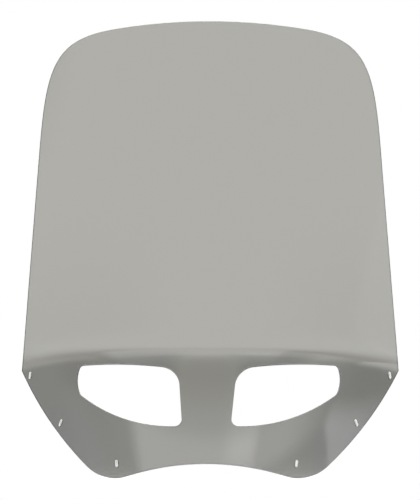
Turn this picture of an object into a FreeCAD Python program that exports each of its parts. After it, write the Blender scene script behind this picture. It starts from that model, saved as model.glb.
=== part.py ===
"""Motorcycle windscreen: one formed and trimmed sheet of clear smoke-grey plastic.

Millimetres, +Z up, front face towards -Y. Outlines are drawn as seen from the front, in the X-Z plane.
The main panel stands upright. Below a soft bend the apron flares forward over the fairing.
"""
import FreeCAD
import Part
import math
import os

# Sheet
sheet_thickness = 4.5

# Outer edge, front view
overall_width = 566.6
overall_height = 683.9
crown_radius = 900.0
shoulder_width = 100.0
shoulder_drop = 155.0
shoulder_top_pull = 90.0
shoulder_side_pull = 124.0
side_lean = 4.6
ear_height = 160.3
ear_radius = 2.0
flank_radius = 500.0
lobe_spacing = 277.0
lobe_radius = 60.0
arch_height = 21.6

# Air windows in the apron, front view
web_width = 69.6
web_top_width = 84.8
lip_band = 55.0
window_inner_drop = 19.7
window_outer_drop = 15.0
window_end_height = 45.6
window_side_margin = 89.2
window_top_bulge = 4.4
window_bottom_bulge = 15.6
window_end_bulge = 5.2
window_inner_top_corner = 32.5
window_inner_bottom_corner = 12.0
window_outer_top_corner = 8.0
window_outer_bottom_corner = 14.0

# Fixing slots
slot_length = 12.5
slot_width = 5.5
upper_slot_drop = 6.6
upper_slot_inset = 8.9
upper_slot_lean = 7.0
middle_slot_drop = 77.9
middle_slot_inset = 12.3
middle_slot_lean = 20.5
lower_slot_height = 21.5
lower_slot_offset = 3.9
lower_slot_lean = -4.5

# Curve of the sheet
panel_edge_turn = 27.1
lip_edge_turn = 51.7
panel_profile_radius = 6000.0
bend_over_ear = 5.7
bend_rise = 19.0
bend_arch_power = 4
bend_softness = 9.5
flare_angle = 32.0
flare_easing = 185.0

# Working allowances
skin_margin = 15.0
skin_columns = 25
skin_rows = 61
slope_step = 0.5
tool_depth = 600.0
slot_tool_reach = 10.0
facet_size = 0.1
join_tolerance = 0.01
ORIGIN = FreeCAD.Vector(0, 0, 0)
ACROSS = FreeCAD.Vector(1, 0, 0)
BACKWARD = FreeCAD.Vector(0, 1, 0)

half_width = overall_width / 2
bend_crest = ear_height + bend_over_ear + bend_rise


def front(x, z):
    """A point of the front view."""
    return FreeCAD.Vector(x, 0, z)


def below_bend(x, z):
    """Height below the bend, running smoothly to nothing above it. The bend line arches from ear to ear."""
    bend = bend_crest - bend_rise * (x / half_width) ** bend_arch_power
    return bend_softness * math.log(1 + math.exp((bend - z) / bend_softness))


def skin_depth(x, z):
    """How far back the front face lies at a place of the front view.

    It bulges forward from side to side, more so towards the lip. The two edge turns are how far the face
    has turned aside at half the overall width, on the panel and at the lip's height.
    """
    lip_share = below_bend(x, z) / bend_crest
    panel_turn = math.sin(math.radians(panel_edge_turn))
    lip_turn = math.sin(math.radians(lip_edge_turn))
    curvature = (panel_turn + (lip_turn - panel_turn) * lip_share) / half_width
    wrap = (1 - math.sqrt(1 - (x * curvature) ** 2)) / curvature
    rake = max(z - bend_crest, 0) ** 2 / (2 * panel_profile_radius)
    slope = math.tan(math.radians(flare_angle))
    flare = flare_easing * slope * (1 - math.exp(-below_bend(x, z) / flare_easing))
    return wrap + rake - flare


def skin_point(x, z):
    return FreeCAD.Vector(x, skin_depth(x, z), z)


def skin_normal(x, z):
    """Unit vector out of the front face, into the oncoming air."""
    along_x = skin_point(x + slope_step, z) - skin_point(x - slope_step, z)
    along_z = skin_point(x, z + slope_step) - skin_point(x, z - slope_step)
    return along_x.cross(along_z).normalize()


def skin_face():
    """The front face before trimming, a little larger than the sheet all round."""
    width = overall_width + 2 * skin_margin
    height = overall_height + 2 * skin_margin
    rows = []
    for row in range(skin_rows):
        z = height * row / (skin_rows - 1) - skin_margin
        rows.append([skin_point(width * (column / (skin_columns - 1) - 0.5), z) for column in range(skin_columns)])
    surface = Part.BSplineSurface()
    surface.interpolate(rows)
    return surface.toShape()


def circles_meet(centre_a, radius_a, centre_b, radius_b):
    """Both points where two circles of the front view cross, the one with the larger X first."""
    gap = centre_b - centre_a
    along = (radius_a ** 2 - radius_b ** 2 + gap.Length ** 2) / (2 * gap.Length)
    away = math.sqrt(radius_a ** 2 - along ** 2)
    foot = centre_a + gap * (along / gap.Length)
    offset = front(-gap.z, gap.x) * (away / gap.Length)
    return sorted([foot + offset, foot - offset], key=lambda point: -point.x)


def line_meets_circle(start, direction, centre, radius):
    """Both points where a line of the front view crosses a circle, the higher one first."""
    way = FreeCAD.Vector(direction).normalize()
    foot = start + way * (centre - start).dot(way)
    away = math.sqrt(radius ** 2 - (centre - foot).Length ** 2)
    return sorted([foot + way * away, foot - way * away], key=lambda point: -point.z)


def arc(centre, start, end):
    """The shorter arc about a centre."""
    radius = (start - centre).Length
    middle = centre + (start + end - centre * 2).normalize() * radius
    return Part.Arc(start, middle, end).toShape()


def on_line(start, end, distance):
    return start + (end - start).normalize() * distance


ear = front(half_width, ear_height)
lobe_centre = front(lobe_spacing / 2, lobe_radius)
flank_centre = circles_meet(ear, flank_radius, lobe_centre, flank_radius - lobe_radius)[1]


def outer_edge():
    """Crown, shoulders, straight sides, flanks, lobes and the arch between the lobes."""
    crown_centre = front(0, overall_height - crown_radius)
    lean = math.radians(side_lean)
    side_way = front(-math.sin(lean), math.cos(lean))
    corner = line_meets_circle(ear, side_way, crown_centre, crown_radius)[0]
    crown_x = corner.x - shoulder_width
    crown_end = front(crown_x, crown_centre.z + math.sqrt(crown_radius ** 2 - crown_x ** 2))
    side_top = corner - side_way * (shoulder_drop / side_way.z)
    crown_way = front(crown_end.z - crown_centre.z, -crown_end.x).normalize()

    reach = lobe_spacing ** 2 / 4 + arch_height ** 2
    arch_radius = reach / (2 * arch_height) - lobe_radius
    arch_centre = front(0, arch_height - arch_radius)
    flank_end = on_line(flank_centre, lobe_centre, flank_radius)
    arch_end = on_line(arch_centre, lobe_centre, arch_radius)

    shoulder = Part.BezierCurve()
    shoulder.setPoles([
        crown_end,
        crown_end + crown_way * shoulder_top_pull,
        side_top + side_way * shoulder_side_pull,
        side_top,
    ])
    right = [
        shoulder.toShape(),
        Part.makeLine(side_top, ear),
        arc(flank_centre, ear, flank_end),
        arc(lobe_centre, flank_end, arch_end),
    ]
    left = [edge.mirror(ORIGIN, ACROSS) for edge in right]
    crown = Part.Arc(front(-crown_end.x, crown_end.z), front(0, overall_height), crown_end).toShape()
    arch = Part.Arc(front(-arch_end.x, arch_end.z), front(0, arch_height), arch_end).toShape()
    return [crown, arch] + right + left


def bulged(start, end, bulge):
    """An arc from start to end that stands out to the left of the way by its bulge."""
    way = (end - start).normalize()
    middle = (start + end) / 2 + front(-way.z, way.x) * bulge
    return Part.Arc(start, middle, end).toShape()


def right_window_edge():
    """The four sides of the right air window, and each corner with its rounding."""
    outer_x = half_width - window_side_margin
    outer_top_z = bend_crest - window_outer_drop
    inner_bottom = front(web_width / 2, arch_height + lip_band)
    inner_top = front(web_top_width / 2, bend_crest - window_inner_drop)
    outer_top = front(outer_x, outer_top_z)
    outer_bottom = front(outer_x, outer_top_z - window_end_height)

    sides = [
        Part.makeLine(inner_bottom, inner_top),
        bulged(inner_top, outer_top, window_top_bulge),
        bulged(outer_top, outer_bottom, window_end_bulge),
        bulged(outer_bottom, inner_bottom, window_bottom_bulge),
    ]
    corners = [
        (inner_top, window_inner_top_corner),
        (inner_bottom, window_inner_bottom_corner),
        (outer_top, window_outer_top_corner),
        (outer_bottom, window_outer_bottom_corner),
    ]
    return sides, corners


def cutter(edges, corners):
    """A prism from front to back through the sheet, with its long edges at the given corners rounded."""
    profile = Part.Face(Part.Wire(Part.__sortEdges__(edges)))
    profile.translate(BACKWARD * (-tool_depth / 2))
    prism = profile.extrude(BACKWARD * tool_depth)
    for corner, radius in corners:
        long_edges = [edge for edge in prism.Edges if edge.distToShape(Part.Vertex(corner))[0] < join_tolerance]
        prism = prism.makeFillet(radius, long_edges[:1])
    return prism


def slot_places():
    """Front-view place and lean of the three right-hand slots."""
    places = []
    for drop, inset, lean in (
        (upper_slot_drop, upper_slot_inset, upper_slot_lean),
        (middle_slot_drop, middle_slot_inset, middle_slot_lean),
    ):
        z = ear_height - drop
        x = flank_centre.x + math.sqrt((flank_radius - inset) ** 2 - (z - flank_centre.z) ** 2)
        places.append((x, z, lean))
    places.append((lobe_spacing / 2 - lower_slot_offset, lower_slot_height, lower_slot_lean))
    return places


def slot_cutter(x, z, lean):
    """A round-ended slot square to the sheet. It leans towards the middle at its top by its front-view angle."""
    normal = skin_normal(x, z)
    angle = math.radians(lean)
    upright = skin_point(x - math.sin(angle), z + math.cos(angle)) - skin_point(x, z)
    long_way = (upright - normal * upright.dot(normal)).normalize()
    short_way = long_way.cross(normal)
    centre = skin_point(x, z) + normal * slot_tool_reach
    half_run = (slot_length - slot_width) / 2
    half_slot = slot_width / 2

    top = centre + long_way * half_run
    bottom = centre - long_way * half_run
    side = short_way * half_slot
    profile = Part.Wire([
        Part.makeLine(bottom + side, top + side),
        Part.Arc(top + side, top + long_way * half_slot, top - side).toShape(),
        Part.makeLine(top - side, bottom - side),
        Part.Arc(bottom - side, bottom - long_way * half_slot, bottom + side).toShape(),
    ])
    return Part.Face(profile).extrude(normal * (-2 * slot_tool_reach))


def trimmed_face():
    """The front face inside the outer edge, with its windows and slots cut out."""
    blank = cutter(outer_edge(), [(ear, ear_radius), (front(-ear.x, ear.z), ear_radius)])
    right_cuts = [cutter(*right_window_edge())] + [slot_cutter(x, z, lean) for x, z, lean in slot_places()]
    left_cuts = [cut.mirror(ORIGIN, ACROSS) for cut in right_cuts]
    return skin_face().common(blank).cut(right_cuts + left_cuts).Faces[0]


def thickened(face):
    """The sheet behind a front face, its edges cut square to the face."""
    return face.makeOffsetShape(sheet_thickness, join_tolerance, fill=True).toNurbs()


def move_to_origin(shape):
    """How far a shape has to move to stand on the origin, centred from front to back."""
    points = shape.tessellate(facet_size)[0]
    depths = [point.y for point in points]
    lowest = min(point.z for point in points)
    return FreeCAD.Vector(0, -(min(depths) + max(depths)) / 2, -lowest)


os.makedirs("parts", exist_ok=True)
face = trimmed_face()
move = move_to_origin(thickened(face))
face.translate(move)
sheet = thickened(face)
sheet.exportStep("parts/windscreen_sheet.step")

print("solids", len(sheet.Solids), "valid", sheet.isValid(), "volume", round(sheet.Volume), "moved", move)
for x, z, lean in slot_places():
    print("slot", skin_point(x, z) + move, "normal", skin_normal(x, z))
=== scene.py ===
"""Motorcycle windscreen: one formed sheet of clear smoke-grey acrylic, seen from the front. Metres."""
import cmath
import math

import bpy
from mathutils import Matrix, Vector


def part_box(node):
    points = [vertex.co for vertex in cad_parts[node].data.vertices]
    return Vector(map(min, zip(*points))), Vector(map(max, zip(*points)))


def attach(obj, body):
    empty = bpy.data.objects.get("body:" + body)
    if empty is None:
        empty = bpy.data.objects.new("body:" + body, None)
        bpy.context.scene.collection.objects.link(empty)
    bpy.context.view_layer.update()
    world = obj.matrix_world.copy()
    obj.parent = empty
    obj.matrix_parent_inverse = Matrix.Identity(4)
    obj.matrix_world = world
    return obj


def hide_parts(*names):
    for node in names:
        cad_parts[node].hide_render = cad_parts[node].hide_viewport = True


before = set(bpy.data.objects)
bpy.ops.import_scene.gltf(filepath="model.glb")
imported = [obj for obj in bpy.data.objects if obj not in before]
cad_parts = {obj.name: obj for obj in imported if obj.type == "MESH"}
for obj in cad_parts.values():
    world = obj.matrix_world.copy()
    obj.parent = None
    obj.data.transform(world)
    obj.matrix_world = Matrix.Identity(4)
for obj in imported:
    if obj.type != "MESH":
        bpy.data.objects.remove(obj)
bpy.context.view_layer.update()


# The sheet's cut-out: one blank of 4.5 mm acrylic, routed to shape, with two air windows in the apron
# and three fixing slots a side. Points of the front view are complex numbers, x across and height up.
THICKNESS = 0.0045
WIDTH = 0.5666
HEIGHT = 0.6839
ARCH_HEIGHT = 0.0216
EDGE_ROUNDING = 0.0008
RIM_STEPS = 7
GRID_PITCH = 0.005
GRID_MARGIN = 0.02
ALMOST_STRAIGHT = 1e-6


def arc(centre, start, end, step=0.003):
    """Points the short way round a centre, from start up to but not at end."""
    turn = cmath.phase((end - centre) / (start - centre))
    count = max(2, round(abs(turn * (start - centre)) / step))
    return [centre + (start - centre) * cmath.exp(1j * turn * k / count) for k in range(count)]


def circles_meet(a, radius_a, b, radius_b):
    """Both points where two circles cross."""
    gap = b - a
    along = (radius_a ** 2 - radius_b ** 2 + abs(gap) ** 2) / (2 * abs(gap))
    away = 1j * math.sqrt(radius_a ** 2 - along ** 2)
    return [a + gap / abs(gap) * (along + side * away) for side in (1, -1)]


def side_circle(start, end, bulge):
    """Centre and radius of the arc from start to end that stands out to the left of the way."""
    chord = end - start
    radius = (abs(chord) ** 2 / 4 + bulge ** 2) / (2 * bulge)
    return (start + end) / 2 - 1j * chord / abs(chord) * (radius - bulge), radius


def rounded(corner, before, after, radius):
    """Tangent point, centre and tangent point of a corner's rounding between two side circles."""
    meets = circles_meet(before[0], before[1] - radius, after[0], after[1] - radius)
    centre = min(meets, key=lambda point: abs(point - corner))
    tangents = [c + (centre - c) / abs(centre - c) * r for c, r in (before, after)]
    return tangents[0], centre, tangents[1]


def outer_edge():
    """The right half from the crown's middle down to the arch's middle, then its mirror image."""
    crown_radius = 0.9
    flank_radius = 0.5
    ear_radius = 0.002
    shoulder_width = 0.1
    shoulder_drop = 0.155
    shoulder_top_pull = 0.09
    shoulder_side_pull = 0.124

    crown = 1j * (HEIGHT - crown_radius)
    ear = complex(WIDTH / 2, 0.1603)
    lean = 1j * cmath.exp(1j * math.radians(4.6))
    foot = ear + lean * ((crown - ear) * lean.conjugate()).real
    corner = foot + lean * math.sqrt(crown_radius ** 2 - abs(crown - foot) ** 2)
    crown_x = corner.real - shoulder_width
    crown_end = crown + complex(crown_x, math.sqrt(crown_radius ** 2 - crown_x ** 2))
    side_top = corner - lean * shoulder_drop / lean.imag
    crown_way = (crown_end - crown) / crown_radius * -1j

    lobe_radius = 0.06
    lobe = complex(0.1385, lobe_radius)
    flank_to_lobe = flank_radius - lobe_radius
    flank = min(circles_meet(ear, flank_radius, lobe, flank_to_lobe), key=lambda point: point.real)
    arch_radius = (lobe.real ** 2 + ARCH_HEIGHT ** 2) / (2 * ARCH_HEIGHT) - lobe_radius
    arch = 1j * (ARCH_HEIGHT - arch_radius)
    flank_end = flank + (lobe - flank) / flank_to_lobe * flank_radius
    arch_end = arch + (lobe - arch) / abs(lobe - arch) * arch_radius

    top_handle = crown_end + crown_way * shoulder_top_pull
    side_handle = side_top + lean * shoulder_side_pull
    shoulder = [crown_end, top_handle, side_handle, side_top]
    shoulder_steps = 60
    bezier = []
    for k in range(shoulder_steps):
        t = k / shoulder_steps
        weights = ((1 - t) ** 3, 3 * t * (1 - t) ** 2, 3 * t * t * (1 - t), t ** 3)
        bezier.append(sum(w * p for w, p in zip(weights, shoulder)))
    side = side_circle(side_top, ear, ALMOST_STRAIGHT)
    side_steps = 90
    ear_start, ear_centre, ear_end = rounded(ear, side, (flank, flank_radius), ear_radius)
    half = arc(crown, HEIGHT * 1j, crown_end) + bezier
    half += [side_top + (ear_start - side_top) * k / side_steps for k in range(side_steps)]
    half += arc(ear_centre, ear_start, ear_end, 0.0003) + arc(flank, ear_end, flank_end)
    half += arc(lobe, flank_end, arch_end, 0.002) + arc(arch, arch_end, ARCH_HEIGHT * 1j) + [ARCH_HEIGHT * 1j]
    return half + [-point.conjugate() for point in half[-2:0:-1]]


def right_window():
    """Four arched sides with a rounding at each corner."""
    corners = [
        (complex(0.0348, 0.0766), 0.012),
        (complex(0.0424, 0.1653), 0.0325),
        (complex(0.1941, 0.17), 0.008),
        (complex(0.1941, 0.1244), 0.014),
    ]
    sides = []
    for k, bulge in enumerate((ALMOST_STRAIGHT, 0.0044, 0.0052, 0.0156)):
        sides.append(side_circle(corners[k][0], corners[(k + 1) % 4][0], bulge))
    turns = []
    for k, (corner, radius) in enumerate(corners):
        turns.append(rounded(corner, sides[k - 1], sides[k], radius))
    points = []
    for k, (start, centre, end) in enumerate(turns):
        points += arc(centre, start, end, 0.0012)
        points += arc(sides[k][0], end, turns[(k + 1) % 4][0])
    return points


# The sheet's form: the blank is heated and sags over a mould. The panel wraps gently round the rider;
# below a soft arched bend the apron flares forward over the fairing.
frame_low, frame_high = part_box("windscreen_sheet")
PANEL_EDGE_TURN = math.radians(27.1)
LIP_EDGE_TURN = math.radians(51.7)
PANEL_PROFILE_RADIUS = 6
BEND_CREST = 0.185
BEND_DROP = 0.019
BEND_SOFTNESS = 0.0095
FLARE_ANGLE = math.radians(32)
FLARE_EASING = 0.185


def bend_height(x):
    return BEND_CREST - BEND_DROP * (x / (WIDTH / 2)) ** 4


def below_bend(x, z):
    """How far a place lies below the bend, running softly out to nothing above it."""
    return BEND_SOFTNESS * math.log(1 + math.exp((bend_height(x) - z) / BEND_SOFTNESS))


def skin_depth(x, z):
    """How far back the front face lies at a place of the front view."""
    lip_reach = below_bend(x, z)
    lip_share = lip_reach / BEND_CREST
    panel_turn = math.sin(PANEL_EDGE_TURN)
    lip_turn = math.sin(LIP_EDGE_TURN)
    curvature = (panel_turn + (lip_turn - panel_turn) * lip_share) / (WIDTH / 2)
    wrap = (1 - math.sqrt(1 - (x * curvature) ** 2)) / curvature
    rake = max(z - BEND_CREST, 0) ** 2 / (2 * PANEL_PROFILE_RADIUS)
    flare = FLARE_EASING * math.tan(FLARE_ANGLE) * (1 - math.exp(-lip_reach / FLARE_EASING))
    return wrap + rake - flare


skin_shift = Vector((0, frame_low.y - skin_depth(0, ARCH_HEIGHT), frame_high.z - HEIGHT))


def skin(x, z):
    return Vector((x, skin_depth(x, z), z)) + skin_shift


def skin_slopes(x, z):
    step = 0.0005
    along_x = (skin(x + step, z) - skin(x - step, z)) / step / 2
    along_z = (skin(x, z + step) - skin(x, z - step)) / step / 2
    return along_x, along_z


def skin_normal(x, z):
    along_x, along_z = skin_slopes(x, z)
    return along_x.cross(along_z).normalized()


def slot(place, lean):
    """A round-ended slot, 12.5 by 5.5 mm square to the sheet, as its outline falls in the front view."""
    normal = skin_normal(place.real, place.imag)
    upright = Vector((-math.sin(math.radians(lean)), 0, math.cos(math.radians(lean))))
    along_x, along_z = skin_slopes(place.real, place.imag)
    upright = along_x * upright.x + along_z * upright.z
    long_way = (upright - normal * upright.dot(normal)).normalized()
    short_way = long_way.cross(normal)
    radius = 0.00275
    half_run = 0.0035
    steps = 40
    points = []
    for k in range(steps):
        angle = 2 * math.pi * (k + 0.5) / steps
        run = math.copysign(half_run, math.sin(angle))
        point = short_way * radius * math.cos(angle) + long_way * (radius * math.sin(angle) + run)
        points.append(place + complex(point.x, point.z))
    return points


def prism(name, outline, inset):
    """A closed prism through the flat blank, its outline moved in from the finished edge by an inset."""
    reach = 0.05
    count = len(outline)
    area = sum((outline[k - 1].conjugate() * outline[k]).imag for k in range(count))
    moved = []
    for k in range(count):
        ways = [outline[k] - outline[k - 1], outline[(k + 1) % count] - outline[k]]
        bisector = sum(way / abs(way) for way in ways)
        moved.append(outline[k] + 1j * bisector / abs(bisector) * math.copysign(inset, area))
    mesh = bpy.data.meshes.new(name)
    ring = [(k, (k + 1) % count) for k in range(count)]
    mesh.from_pydata([(point.real, point.imag, -reach) for point in moved], ring, [])
    body = bpy.data.objects.new(name, mesh)
    bpy.context.collection.objects.link(body)
    bpy.ops.object.select_all(action="DESELECT")
    body.select_set(True)
    bpy.context.view_layer.objects.active = body
    bpy.ops.object.mode_set(mode="EDIT")
    bpy.ops.mesh.select_all(action="SELECT")
    bpy.ops.mesh.edge_face_add()
    bpy.ops.mesh.extrude_region_move(TRANSFORM_OT_translate={"value": (0, 0, 2 * reach)})
    bpy.ops.mesh.select_all(action="SELECT")
    bpy.ops.mesh.normals_make_consistent(inside=False)
    bpy.ops.object.mode_set(mode="OBJECT")
    return body


def cut(blank, tool, operation):
    """Apply one exact boolean to the blank and drop the tool."""
    modifier = blank.modifiers.new("cut", "BOOLEAN")
    modifier.operation = operation
    modifier.solver = "EXACT"
    modifier.object = tool
    bpy.ops.object.select_all(action="DESELECT")
    blank.select_set(True)
    bpy.context.view_layer.objects.active = blank
    bpy.ops.object.modifier_apply(modifier=modifier.name)
    bpy.data.objects.remove(tool)


def flat_blank():
    """A gridded slab in the X-Y plane."""
    width = WIDTH + 2 * GRID_MARGIN
    height = HEIGHT + 2 * GRID_MARGIN
    bpy.ops.object.select_all(action="DESELECT")
    bpy.ops.mesh.primitive_grid_add(
        x_subdivisions=round(width / GRID_PITCH), y_subdivisions=round(height / GRID_PITCH), size=1)
    blank = bpy.context.object
    bpy.ops.object.mode_set(mode="EDIT")
    bpy.ops.mesh.select_all(action="SELECT")
    bpy.ops.transform.resize(value=(width, height, 1))
    bpy.ops.transform.translate(value=(0, HEIGHT / 2, 0))
    bpy.ops.mesh.extrude_region_move(TRANSFORM_OT_translate={"value": (0, 0, THICKNESS)})
    bpy.ops.mesh.select_all(action="SELECT")
    bpy.ops.mesh.normals_make_consistent(inside=False)
    bpy.ops.object.mode_set(mode="OBJECT")
    return blank


def walled(sheet):
    """Keep the cut top face, extrude it to the thickness and divide its walls."""
    bpy.ops.object.mode_set(mode="EDIT")
    bpy.ops.mesh.select_mode(type="FACE")
    bpy.ops.mesh.select_all(action="DESELECT")
    bpy.ops.object.mode_set(mode="OBJECT")
    for face in sheet.data.polygons:
        face.select = face.normal.z < 0.5
    bpy.ops.object.mode_set(mode="EDIT")
    bpy.ops.mesh.delete(type="FACE")
    bpy.ops.mesh.select_all(action="SELECT")
    bpy.ops.mesh.remove_doubles(threshold=1e-6)
    bpy.ops.mesh.extrude_region_move(TRANSFORM_OT_translate={"value": (0, 0, -THICKNESS)})
    bpy.ops.mesh.select_all(action="SELECT")
    bpy.ops.mesh.normals_make_consistent(inside=False)
    bpy.ops.mesh.select_mode(type="EDGE")
    bpy.ops.mesh.select_all(action="DESELECT")
    bpy.ops.object.mode_set(mode="OBJECT")
    vertices = sheet.data.vertices
    for edge in sheet.data.edges:
        a, b = (vertices[k].co.z for k in edge.vertices)
        edge.select = abs(a - b) > THICKNESS / 2
    bpy.ops.object.mode_set(mode="EDIT")
    bpy.ops.mesh.subdivide(number_cuts=RIM_STEPS - 1)
    bpy.ops.object.mode_set(mode="OBJECT")


def formed(sheet):
    """Round the rims, bend the flat sheet to its form and give it smooth normals."""
    mesh = sheet.data
    outward = {}
    for face in mesh.polygons:
        if abs(face.normal.z) < 0.5:
            for k in face.vertices:
                place = mesh.vertices[k].co
                key = (round(place.x, 6), round(place.y, 6))
                outward[key] = outward.get(key, 0) + complex(face.normal.x, face.normal.y)
    top = max(vertex.co.z for vertex in mesh.vertices)
    profile = [(0, 0, 0)]
    for angle in (30, 60, 90):
        turn = math.radians(angle)
        profile.append((math.sin(turn) * EDGE_ROUNDING, (1 - math.cos(turn)) * EDGE_ROUNDING, angle))
    profile += [(out, THICKNESS - deep, 180 - angle) for out, deep, angle in reversed(profile)]
    normals = []
    for vertex in mesh.vertices:
        x, z, depth = vertex.co.x, vertex.co.y, top - vertex.co.z
        out, deep, angle = profile[round(depth / THICKNESS * RIM_STEPS)]
        way = outward.get((round(x, 6), round(z, 6)), 1)
        way /= abs(way)
        x += way.real * out
        z += way.imag * out
        normal = skin_normal(x, z)
        vertex.co = skin(x, z) - normal * deep
        along_x, along_z = skin_slopes(x, z)
        rim = (along_z * way.real - along_x * way.imag).cross(normal)
        turn = math.radians(angle)
        normals.append(rim.normalized() * math.sin(turn) + normal * math.cos(turn))
    return normals


windscreen = flat_blank()
windscreen.name = "windscreen"
cut(windscreen, prism("outer_edge", outer_edge(), EDGE_ROUNDING), "INTERSECT")
SLOTS = [(0.27013 + 0.1537j, 7), (0.22169 + 0.0824j, 20.5), (0.1346 + 0.0215j, -4.5)]
SLOT_REACH = 0.0077
for mirrored in (False, True):
    for opening in [right_window()] + [slot(middle, lean) for middle, lean in SLOTS]:
        if mirrored:
            opening = [-point.conjugate() for point in opening]
        cut(windscreen, prism("opening", opening, -EDGE_ROUNDING), "DIFFERENCE")
walled(windscreen)
slot_walls = []
for face in windscreen.data.polygons:
    near = min(abs(complex(abs(face.center.x), face.center.y) - middle) for middle, lean in SLOTS)
    slot_walls.append(abs(face.normal.z) < 0.5 and near < SLOT_REACH)
sheet_normals = formed(windscreen)
bpy.ops.object.mode_set(mode="EDIT")
bpy.ops.mesh.select_all(action="SELECT")
bpy.ops.mesh.normals_make_consistent(inside=False)
bpy.ops.object.mode_set(mode="OBJECT")
bpy.ops.object.shade_smooth()
windscreen.data.normals_split_custom_set_from_vertices(sheet_normals)


def graph(tree):
    """Two short helpers for a node tree: one adds a node, one a math node fed by numbers or sockets."""
    def add(kind, **settings):
        node = tree.nodes.new(kind)
        for name, value in settings.items():
            setattr(node, name, value)
        return node

    def math_node(operation, *values):
        node = add("ShaderNodeMath", operation=operation)
        for socket, value in zip(node.inputs, values):
            if isinstance(value, (int, float)):
                socket.default_value = value
            else:
                tree.links.new(value, socket)
        return node.outputs[0]

    return add, math_node


def fade(tree, value, start, end):
    """A smooth run from 0 at start to 1 at end."""
    node = tree.nodes.new("ShaderNodeMapRange")
    node.interpolation_type = "SMOOTHSTEP"
    node.inputs["From Min"].default_value = min(start, end)
    node.inputs["From Max"].default_value = max(start, end)
    node.inputs["To Min"].default_value = 0 if start < end else 1
    node.inputs["To Max"].default_value = 1 if start < end else 0
    tree.links.new(value, node.inputs["Value"])
    return node.outputs["Result"]


# The sheet's finish: clear, polished acrylic tinted smoke-grey. Along the bend and in the apron the colour is
# painted darker: painted shade for the darker reflections the sheet shows there, not a deeper colour of the
# acrylic. The face has the faint swell of a formed sheet.
smoke = bpy.data.materials.new("smoke_acrylic")
smoke.use_nodes = True
tree = smoke.node_tree
add, math_node = graph(tree)
shader = tree.nodes["Principled BSDF"]
shader.inputs["Roughness"].default_value = 0.06
shader.inputs["IOR"].default_value = 1.586
shader.inputs["Transmission Weight"].default_value = 1
place_vector = add("ShaderNodeTexCoord").outputs["Object"]
place = add("ShaderNodeSeparateXYZ")
tree.links.new(place_vector, place.inputs[0])
drop_share = BEND_DROP / (WIDTH / 2) ** 4
bend_drop = math_node("MULTIPLY", math_node("POWER", place.outputs["X"], 4), drop_share)
below = math_node("SUBTRACT", math_node("SUBTRACT", BEND_CREST, bend_drop), place.outputs["Z"])
aside = math_node("ABSOLUTE", place.outputs["X"])
# Painted shade masks: how much painted shade falls below the bend, stronger towards the apron's outer ends,
# and in a band along the bend.
outer = math_node("ADD", math_node("MULTIPLY", fade(tree, aside, 0.10, 0.24), 0.58), 0.42)
apron_shade_share = math_node("MULTIPLY", fade(tree, below, 0, 0.010), outer)
along_bend = math_node("MULTIPLY", fade(tree, aside, 0.015, 0.07), fade(tree, aside, 0.19, 0.13))
bend_shade_share = math_node("MULTIPLY", fade(tree, below, -0.010, 0.006), fade(tree, below, 0.05, 0.03))
bend_shade_share = math_node("MULTIPLY", bend_shade_share, along_bend)
painted_shade_depth = math_node("MAXIMUM", apron_shade_share, bend_shade_share)
# The colour of the painted shade in the apron, a little warmer at its top.
apron_shade_colour = add("ShaderNodeMix", data_type="RGBA")
apron_shade_colour.inputs["A"].default_value = (0.199, 0.198, 0.184, 1)
apron_shade_colour.inputs["B"].default_value = (0.197, 0.199, 0.197, 1)
tree.links.new(fade(tree, place.outputs["Z"], 0.14, 0.05), apron_shade_colour.inputs["Factor"])
# The sheet's smoke-grey colour, painted darker by the painted shade mask along the bend and in the apron.
tint_and_painted_shade = add("ShaderNodeMix", data_type="RGBA")
tint_and_painted_shade.inputs["A"].default_value = (0.291, 0.288, 0.261, 1)
tree.links.new(apron_shade_colour.outputs["Result"], tint_and_painted_shade.inputs["B"])
tree.links.new(painted_shade_depth, tint_and_painted_shade.inputs["Factor"])
tree.links.new(tint_and_painted_shade.outputs["Result"], shader.inputs["Base Color"])
ripple = add("ShaderNodeTexNoise")
ripple.inputs["Scale"].default_value = 22
ripple.inputs["Detail"].default_value = 1
tree.links.new(place_vector, ripple.inputs["Vector"])
swell = add("ShaderNodeBump")
swell.inputs["Distance"].default_value = 0.00004
tree.links.new(ripple.outputs["Fac"], swell.inputs["Height"])
tree.links.new(swell.outputs["Normal"], shader.inputs["Normal"])


# The slots' walls: routed and not polished, so they stay satin and read almost white. They are faces of the
# same sheet, which takes its place here.
satin = bpy.data.materials.new("routed_wall")
satin.use_nodes = True
tree = satin.node_tree
add, math_node = graph(tree)
shader = tree.nodes["Principled BSDF"]
shader.inputs["Roughness"].default_value = 0.55
grain = add("ShaderNodeTexNoise")
grain.inputs["Scale"].default_value = 900
tree.links.new(add("ShaderNodeTexCoord").outputs["Object"], grain.inputs["Vector"])
tone = add("ShaderNodeMix", data_type="RGBA")
tone.inputs["A"].default_value = (0.70, 0.70, 0.68, 1)
tone.inputs["B"].default_value = (0.86, 0.86, 0.84, 1)
tree.links.new(grain.outputs["Fac"], tone.inputs["Factor"])
tree.links.new(tone.outputs["Result"], shader.inputs["Base Color"])
windscreen.data.materials.clear()
windscreen.data.materials.append(smoke)
windscreen.data.materials.append(satin)
for face, is_slot_wall in zip(windscreen.data.polygons, slot_walls):
    face.material_index = int(is_slot_wall)
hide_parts("windscreen_sheet")
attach(windscreen, "root")


# The studio floor: a square of white paper under the windscreen. It shows white wherever nothing shades it,
# and it glows a little in what is seen directly, in a reflection or through the sheet.
bpy.ops.object.select_all(action="DESELECT")
bpy.ops.mesh.primitive_plane_add(size=1)
floor = bpy.context.object
floor.name = "studio_floor"
bpy.ops.object.mode_set(mode="EDIT")
bpy.ops.mesh.select_all(action="SELECT")
bpy.ops.transform.resize(value=(5, 5, 1))
bpy.ops.object.mode_set(mode="OBJECT")


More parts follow.
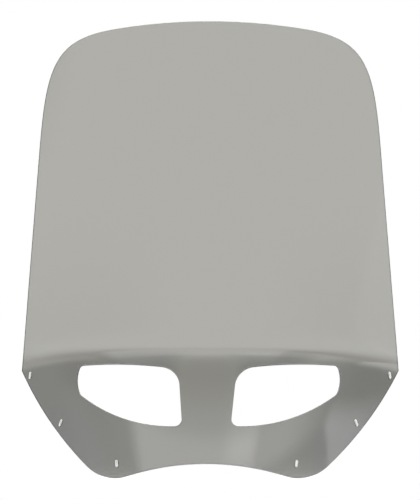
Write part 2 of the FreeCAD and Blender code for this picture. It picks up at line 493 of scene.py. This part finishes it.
def seen_directly(tree):
    """1 for camera, glossy and transmission rays, and 0 for the rays that carry light."""
    path = tree.nodes.new("ShaderNodeLightPath")
    total = path.outputs["Is Camera Ray"]
    for name in ("Is Glossy Ray", "Is Transmission Ray"):
        node = tree.nodes.new("ShaderNodeMath")
        node.operation = "MAXIMUM"
        tree.links.new(total, node.inputs[0])
        tree.links.new(path.outputs[name], node.inputs[1])
        total = node.outputs[0]
    return total


paper = bpy.data.materials.new("white_paper")
paper.use_nodes = True
shader = paper.node_tree.nodes["Principled BSDF"]
shader.inputs["Base Color"].default_value = (0.9, 0.9, 0.9, 1)
shader.inputs["Roughness"].default_value = 0.9
shader.inputs["Specular IOR Level"].default_value = 0
shader.inputs["Emission Color"].default_value = (1, 1, 1, 1)
add, math_node = graph(paper.node_tree)
glow = math_node("MULTIPLY", seen_directly(paper.node_tree), 0.25)
paper.node_tree.links.new(glow, shader.inputs["Emission Strength"])
floor.data.materials.append(paper)


# The light: a white backdrop behind, a broad bright wall in front with a soft box above the lens, a card at
# each side and a dim ceiling. Degrees: azimuth 0 is straight in front, and positive to the viewer's right.
world = bpy.data.worlds.new("studio")
bpy.context.scene.world = world
world.use_nodes = True
tree = world.node_tree
add, math_node = graph(tree)
way = add("ShaderNodeSeparateXYZ")
tree.links.new(add("ShaderNodeTexCoord").outputs["Generated"], way.inputs[0])
forward = math_node("MULTIPLY", way.outputs["Y"], -1)
azimuth = math_node("DEGREES", math_node("ARCTAN2", way.outputs["X"], forward))
elevation = math_node("DEGREES", math_node("ARCSINE", way.outputs["Z"]))


def product(*factors):
    """All the factors multiplied together."""
    total = factors[0]
    for factor in factors[1:]:
        total = math_node("MULTIPLY", total, factor)
    return total


def leaning(share):
    """Elevation plus a share of the azimuth, for an edge that leans."""
    return math_node("ADD", elevation, math_node("MULTIPLY", azimuth, share))


aside = math_node("ABSOLUTE", azimuth)
sideways = math_node("MULTIPLY", math_node("MULTIPLY", azimuth, azimuth), 0.0048)
wall_top = fade(tree, math_node("ADD", elevation, sideways), 30, 16)
shade = product(fade(tree, aside, 8, 36), fade(tree, elevation, 5, 0), 0.14)
doorway = product(fade(tree, leaning(-0.45), -15.8, -16.4), fade(tree, aside, 30, 34), 0.09)
wall = math_node("ADD", math_node("SUBTRACT", 1, shade), doorway)
wall = product(wall, wall_top, fade(tree, aside, 76, 54))
box = product(fade(tree, azimuth, -40, -32), fade(tree, azimuth, 28, 17), fade(tree, elevation, 16, 23), 0.74)
off_spot = math_node("ABSOLUTE", math_node("SUBTRACT", azimuth, 13))
spot = product(fade(tree, off_spot, 11, 2), fade(tree, elevation, 22, 31), 0.33)
tail = product(fade(tree, azimuth, 10, 20), fade(tree, azimuth, 54, 30), fade(tree, elevation, 20, 27), 0.5)
lower_top = product(fade(tree, elevation, 39, 31), 0.45)
upper_top = product(fade(tree, elevation, 58, 34), 0.55)
box_top = math_node("ADD", lower_top, upper_top)
box = product(math_node("MAXIMUM", math_node("ADD", box, spot), tail), box_top)
right_card = product(fade(tree, leaning(1 / 0.7), 90.4, 92.2), fade(tree, azimuth, 74, 58), 0.66)
right_card = product(right_card, fade(tree, leaning(0.8), 71, 62), fade(tree, azimuth, 45, 50))
left_card = product(fade(tree, azimuth, -46, -60), fade(tree, elevation, 0, 10), 0.17)
left_card = product(left_card, fade(tree, elevation, 36, 26))
bright = math_node("MAXIMUM", math_node("MAXIMUM", wall, box), right_card)
bright = math_node("ADD", bright, left_card)
backdrop = fade(tree, way.outputs["Y"], -0.1, 0.1)
wall_strength = 2.95
ceiling_strength = 0.1
studio = math_node("ADD", math_node("MULTIPLY", bright, wall_strength), ceiling_strength)
studio = math_node("MAXIMUM", studio, backdrop)
path = add("ShaderNodeLightPath")
direct = math_node("MAXIMUM", path.outputs["Is Camera Ray"], path.outputs["Is Transmission Ray"])
strength = add("ShaderNodeMix", data_type="FLOAT")
tree.links.new(direct, strength.inputs["Factor"])
tree.links.new(studio, strength.inputs["A"])
strength.inputs["B"].default_value = 1
background = tree.nodes["Background"]
background.inputs["Color"].default_value = (1, 1, 1, 1)
tree.links.new(strength.outputs["Result"], background.inputs["Strength"])

top = bpy.data.lights.new("top_soft_box", "AREA")
top.shape = "SQUARE"
top.size = 1.6
top.energy = 40
top_box = bpy.data.objects.new("top_soft_box", top)
bpy.context.collection.objects.link(top_box)
top_box.location = (0, 0.3, 2.8)
top_box.visible_camera = False


# The camera: a long lens a little to the right of straight on and a little low, as in the photograph.
# Its width in view is that of the picture's long side at the windscreen.
turn = math.radians(2.8)
rise = math.radians(-0.7)
distance = 24
width_in_view = 0.75
target = Vector((0, 0.06, 0.3423))
lens = bpy.data.cameras.new("camera")
camera = bpy.data.objects.new("camera", lens)
bpy.context.collection.objects.link(camera)
bpy.context.scene.camera = camera
lens.sensor_width = 36
lens.lens = lens.sensor_width * distance / width_in_view
back = Vector((math.sin(turn) * math.cos(rise), -math.cos(turn) * math.cos(rise), math.sin(rise)))
camera.location = target + back * distance
camera.rotation_euler = (math.radians(90) - rise, 0, turn)

bpy.context.scene.view_settings.view_transform = "Standard"
